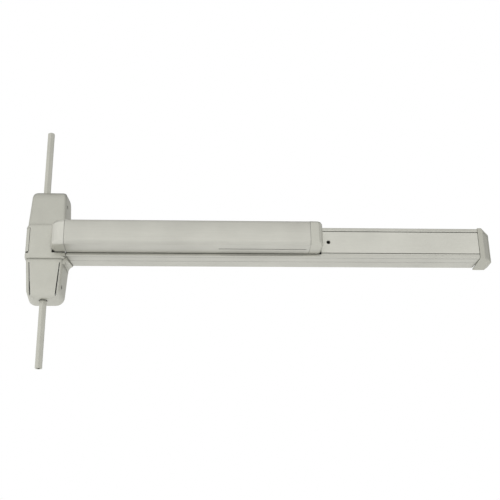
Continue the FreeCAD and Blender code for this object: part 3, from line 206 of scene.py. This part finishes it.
def metal(name, colour, grain=(1, 1, 1), roughness=0.4, scratch=0.12, mottle=0.06, bump=0.12,
          specks=0.0, seam_shade=0.8, open_corner=OPEN_CORNER):
    """Worn satin metal: fine grain, cloudy tone, small pits, painted shade in seams and paler
    edges.
    """
    material, tree, shader = principled(name)
    shader.inputs["Metallic"].default_value = METALLIC
    even = stretched(tree, (1, 1, 1))
    fine_run = stretched(tree, tuple(FINE_GRAIN * axis for axis in grain))
    broad_run = stretched(tree, tuple(BROAD_GRAIN * axis for axis in grain))
    fine = noise(tree, fine_run, detail=4.0, rough=0.65)
    broad = noise(tree, broad_run, rough=0.6)
    cloud = noise(tree, even, METAL_CLOUD, detail=4.0, rough=0.55)
    wear, soft_normal = edge_mask(tree)

    tone = blend_colour(tree, spread(tree, cloud, 0.0, 1.0), shaded(colour, 1 - mottle),
                        shaded(colour, 1 + mottle))
    valley = shaded(colour, 1 - scratch)
    tone = blend_colour(tree, spread(tree, fine, GRAIN_SHARE, 0.0), tone, valley)
    if specks:
        pits = noise(tree, even, METAL_PITS, detail=2.0)
        pit_amount = math_node(tree, "MULTIPLY", spread(tree, pits, 0.0, 1.0), specks)
        tone = blend_colour(tree, pit_amount, tone, valley)
    worn_amount = math_node(tree, "MULTIPLY", wear, WORN_SHARE)
    tone = blend_colour(tree, worn_amount, tone, shaded(colour, WORN_TONE))
    # Seams and inner corners are painted darker where occlusion is deep: painted shade.
    seam_shade_amount = math_node(tree, "MULTIPLY", seam_shade_mask(tree, open_corner), seam_shade)
    tone = blend_colour(tree, seam_shade_amount, tone, shaded(colour, SEAM_SHADE_TONE))
    link(tree, tone, shader.inputs["Base Color"])

    rough = spread(tree, broad, roughness - SMOOTHER, roughness + ROUGHER)
    smoothing = math_node(tree, "MULTIPLY", wear, WORN_SMOOTHING)
    link(tree, math_node(tree, "SUBTRACT", rough, smoothing), shader.inputs["Roughness"])
    height = math_node(tree, "ADD", fine, math_node(tree, "MULTIPLY", broad, BROAD_RELIEF))
    link(tree, bumped(tree, bump, METAL_RELIEF, height, soft_normal), shader.inputs["Normal"])
    return material


def moulded(name, colour, roughness, bump, scale):
    """Moulded plastic or rubber with a fine spark-eroded texture."""
    material, tree, shader = principled(name)
    even = stretched(tree, (1, 1, 1))
    fine = noise(tree, even, scale, detail=4.0, rough=0.6)
    cloud = noise(tree, even, PLASTIC_CLOUD, detail=2.0)
    dark = shaded(colour, PLASTIC_DARK)
    tone = blend_colour(tree, spread(tree, cloud, 0.0, 1.0), dark, colour)
    link(tree, tone, shader.inputs["Base Color"])
    rough = spread(tree, fine, roughness - PLASTIC_SPREAD, roughness + PLASTIC_SPREAD)
    link(tree, rough, shader.inputs["Roughness"])
    link(tree, bumped(tree, bump, PLASTIC_RELIEF, fine), shader.inputs["Normal"])
    return material


# Noise scale by axis. A brushed grain is long along its run, so that axis is small.
ALONG_BAR = (0.012, 1, 1)
UP_AND_DOWN = (1, 1, 0.012)
EVEN = (0.5, 0.5, 0.5)

FINISHES = {
    "satin_case": metal("satin_case", SATIN_WARM, grain=EVEN, roughness=0.47, scratch=0.10,
                        mottle=0.08, bump=0.3, specks=0.4, open_corner=WIDE_CORNER),
    "satin_rail": metal("satin_rail", SATIN, grain=ALONG_BAR, roughness=0.42, scratch=0.16,
                        bump=0.2),
    # The cover strip takes the paler satin: painted light.
    "satin_cover_lit": metal("satin_cover_lit", SATIN_COVER_LIT, grain=ALONG_BAR, roughness=0.42,
                         scratch=0.16, bump=0.2),
    "satin_pad": metal("satin_pad", SATIN_PAD, grain=ALONG_BAR, roughness=0.40, scratch=0.18,
                       bump=0.25, seam_shade=1.0, open_corner=WIDE_CORNER),
    # The nose takes the paler satin: painted light.
    "satin_nose": metal("satin_nose", SATIN_NOSE_LIT, grain=UP_AND_DOWN, roughness=0.40,
                        scratch=0.18, bump=0.25, seam_shade=0.4),
    "satin_pad_cap": metal("satin_pad_cap", SATIN_WARM, grain=EVEN, roughness=0.46, specks=0.2),
    "satin_end_cap": metal("satin_end_cap", SATIN_DULL, grain=EVEN, roughness=0.46, specks=0.25),
    "rod_finish": metal("rod_finish", SATIN_WARM, grain=UP_AND_DOWN, roughness=0.42),
    "zinc_steel": metal("zinc_steel", ZINC, grain=EVEN, roughness=0.38, mottle=0.14, bump=0.2),
    "lever_steel": metal("lever_steel", STEEL, grain=EVEN, roughness=0.42, mottle=0.12),
    "pin_steel": metal("pin_steel", BRIGHT_STEEL, grain=(1, 0.02, 1), roughness=0.28),
    "spring_steel": metal("spring_steel", WIRE, grain=EVEN, roughness=0.35),
    "screw_steel": metal("screw_steel", SCREW, grain=EVEN, roughness=0.40, mottle=0.15),
    "bush_plastic": moulded("bush_plastic", ACETAL, 0.45, 0.15, 1500.0),
    "damper_rubber": moulded("damper_rubber", RUBBER, 0.75, 0.4, 1800.0),
}

# The strip over the rail gets a paler copy of the rail's satin: painted light that makes it read
# brighter than the rail itself.
NODE_FINISHES = {"rail_cover_plate": "satin_cover_lit"}


def paint_nodes():
    """Give each CAD node the finish of its material slot, or its own."""
    for row in frame["record"]["subparts"]:
        thing = frame["nodes"][row["node"]]
        thing.data.materials.clear()
        finish = NODE_FINISHES.get(row["node"], row["material_slot"])
        thing.data.materials.append(FINISHES[finish])


# --------------------------------------------------------------- the studio
# The floor lies as far under the bar as on a door, and glows a little to stay pale.
FLOOR_DROP = 1.02
FLOOR_SIZE = 8.0
FLOOR_GLOW = 0.41
FLOOR_ROUGHNESS = 0.9
FLOOR_PALE = 1.03

# The studio's brightness by direction: a base, a term in Y times Z, one term for each axis,
# and two changes that come in between two heights on the sphere.
WORLD_TINT = (1.0, 0.998, 0.985, 1.0)
WORLD_BASE = 0.91
WORLD_CROSS = -0.60
WORLD_SLOPES = (-0.16, -0.03, -0.04)
WORLD_LEAST = 0.05
DIM_CEILING = (0.42, 0.64, -0.42)
OVERHEAD_LIGHT = (0.80, 0.94, 0.34)

KEY_PLACE = (0.2, -2.4, -0.2)
KEY_TARGET = (0.35, 0.0, 0.0)
KEY_SIZE = 1.6
KEY_POWER = 2.0


def make_floor():
    """A plain pale floor at the height that a door's foot has under the bar."""
    material, tree, shader = principled("floor_paint")
    shader.inputs["Roughness"].default_value = FLOOR_ROUGHNESS
    shader.inputs["Emission Color"].default_value = (1.0, 1.0, 1.0, 1.0)
    shader.inputs["Emission Strength"].default_value = FLOOR_GLOW
    cloud = noise(tree, stretched(tree, (1, 1, 1)), FLOOR_CLOUD)
    pale = shaded(FLOOR, FLOOR_PALE)
    tone = blend_colour(tree, spread(tree, cloud, 0.0, 1.0), FLOOR, pale)
    link(tree, tone, shader.inputs["Base Color"])
    mesh = bpy.data.meshes.new("floor")
    half = FLOOR_SIZE / 2
    corners = [(-half, -half), (half, -half), (half, half), (-half, half)]
    mesh.from_pydata([(x, y, -FLOOR_DROP) for x, y in corners], [], [(0, 1, 2, 3)])
    floor = bpy.data.objects.new("floor", mesh)
    floor.data.materials.append(material)
    bpy.context.scene.collection.objects.link(floor)


def make_world():
    """A white studio: bright walls in front, a dimmer ceiling and a soft light overhead."""
    world = bpy.data.worlds.new("studio")
    bpy.context.scene.world = world
    world.use_nodes = True
    tree = world.node_tree
    tree.nodes.clear()
    out = tree.nodes.new("ShaderNodeOutputWorld")
    seen = tree.nodes.new("ShaderNodeBackground")
    seen.inputs["Color"].default_value = (1.0, 1.0, 1.0, 1.0)
    seen.inputs["Strength"].default_value = 1.0
    light = tree.nodes.new("ShaderNodeBackground")
    coordinates = tree.nodes.new("ShaderNodeTexCoord")
    split = tree.nodes.new("ShaderNodeSeparateXYZ")
    link(tree, coordinates.outputs["Generated"], split.inputs[0])
    cross = math_node(tree, "MULTIPLY", split.outputs["Y"], split.outputs["Z"])
    level = math_node(tree, "ADD", math_node(tree, "MULTIPLY", cross, WORLD_CROSS), WORLD_BASE)
    for axis, amount in zip("XYZ", WORLD_SLOPES):
        level = math_node(tree, "ADD", level,
                          math_node(tree, "MULTIPLY", split.outputs[axis], amount))
    for low, high, change in (DIM_CEILING, OVERHEAD_LIGHT):
        zone = tree.nodes.new("ShaderNodeMapRange")
        zone.inputs["From Min"].default_value = low
        zone.inputs["From Max"].default_value = high
        zone.inputs["To Max"].default_value = change
        link(tree, split.outputs["Z"], zone.inputs["Value"])
        level = math_node(tree, "ADD", level, zone.outputs["Result"])
    link(tree, math_node(tree, "MAXIMUM", level, WORLD_LEAST), light.inputs["Strength"])
    light.inputs["Color"].default_value = WORLD_TINT
    path = tree.nodes.new("ShaderNodeLightPath")
    mix = tree.nodes.new("ShaderNodeMixShader")
    link(tree, path.outputs["Is Camera Ray"], mix.inputs[0])
    link(tree, light.outputs[0], mix.inputs[1])
    link(tree, seen.outputs[0], mix.inputs[2])
    link(tree, mix.outputs[0], out.inputs[0])


def make_key_light():
    """One soft square lamp in front of the bar."""
    data = bpy.data.lights.new("key", "AREA")
    data.shape = "SQUARE"
    data.size = KEY_SIZE
    data.energy = KEY_POWER
    lamp = bpy.data.objects.new("key", data)
    lamp.location = KEY_PLACE
    direction = Vector(KEY_TARGET) - lamp.location
    lamp.rotation_euler = direction.to_track_quat("-Z", "Y").to_euler()
    bpy.context.scene.collection.objects.link(lamp)


# The camera stands in front of the bar, left of its middle and well below it, and looks up.
FOCAL_RATIO = 1.84068
SENSOR = 36.0
CAMERA_PLACE = (0.25424, -1.53177, -0.61295)
TILT = math.radians(21.933)
PAN = math.radians(-3.779)
ROLL = math.radians(-1.057)
NEAREST = 0.05


def make_camera():
    """A camera panned to the right, tilted up and rolled a little."""
    forward = Vector((-math.sin(PAN) * math.cos(TILT), math.cos(PAN) * math.cos(TILT),
                      math.sin(TILT)))
    right = Vector((math.cos(PAN), math.sin(PAN), 0.0))
    up = right.cross(forward)
    rolled_right = right * math.cos(ROLL) + up * math.sin(ROLL)
    rolled_up = up * math.cos(ROLL) - right * math.sin(ROLL)
    turn = Matrix((rolled_right, rolled_up, -forward)).transposed().to_4x4()
    data = bpy.data.cameras.new("camera")
    data.sensor_width = SENSOR
    data.lens = FOCAL_RATIO * SENSOR
    data.clip_start = NEAREST
    camera = bpy.data.objects.new("camera", data)
    camera.matrix_world = Matrix.Translation(CAMERA_PLACE) @ turn
    bpy.context.scene.collection.objects.link(camera)
    bpy.context.scene.camera = camera


paint_nodes()
make_floor()
make_world()
make_camera()
make_key_light()

bpy.context.scene.view_settings.view_transform = "Standard"
